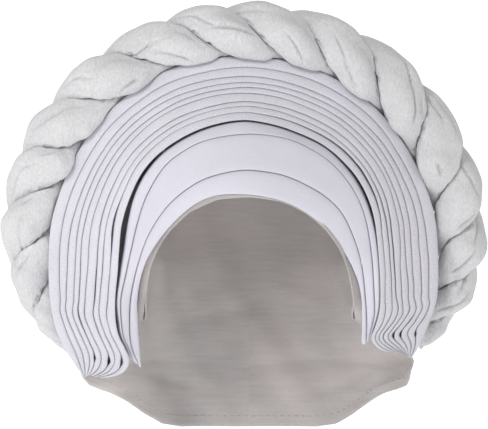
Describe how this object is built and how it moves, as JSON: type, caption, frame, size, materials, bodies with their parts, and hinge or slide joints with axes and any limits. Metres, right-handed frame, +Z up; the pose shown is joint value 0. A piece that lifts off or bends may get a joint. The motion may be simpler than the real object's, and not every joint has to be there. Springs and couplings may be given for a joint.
{
  "type": "tied gele head tie",
  "caption": "Ready-tied head wrap: a lined cap with smooth brow bands, a halo of stacked pleats over the face and a thick cloth braid round its edge.",
  "frame": {"origin": "the crown of the head, where the lining rests on it", "axes": "+X to the right of a viewer who faces the wearer, +Y to the back of the head, +Z up"},
  "size_m": [0.3394, 0.1988, 0.3013],
  "materials": {
    "pleat_cloth": "matt ribbed cloth",
    "braid_cloth": "matt crepe cloth",
    "cap_cloth": "matt crepe cloth",
    "satin_lining": "shiny satin"
  },
  "bodies": {
    "root": {"brow_band_1": "pleat_cloth", "brow_band_2": "pleat_cloth", "brow_band_3": "pleat_cloth", "pleat_01": "pleat_cloth", "pleat_02": "pleat_cloth", "pleat_03": "pleat_cloth", "pleat_04": "pleat_cloth", "pleat_05": "pleat_cloth", "pleat_06": "pleat_cloth", "pleat_07": "pleat_cloth", "pleat_08": "pleat_cloth", "pleat_09": "pleat_cloth", "halo_back": "cap_cloth", "cap": "cap_cloth", "lining": "satin_lining", "braid_strand_1": "braid_cloth", "braid_strand_2": "braid_cloth", "braid_strand_3": "braid_cloth"}
  },
  "joints": []
}
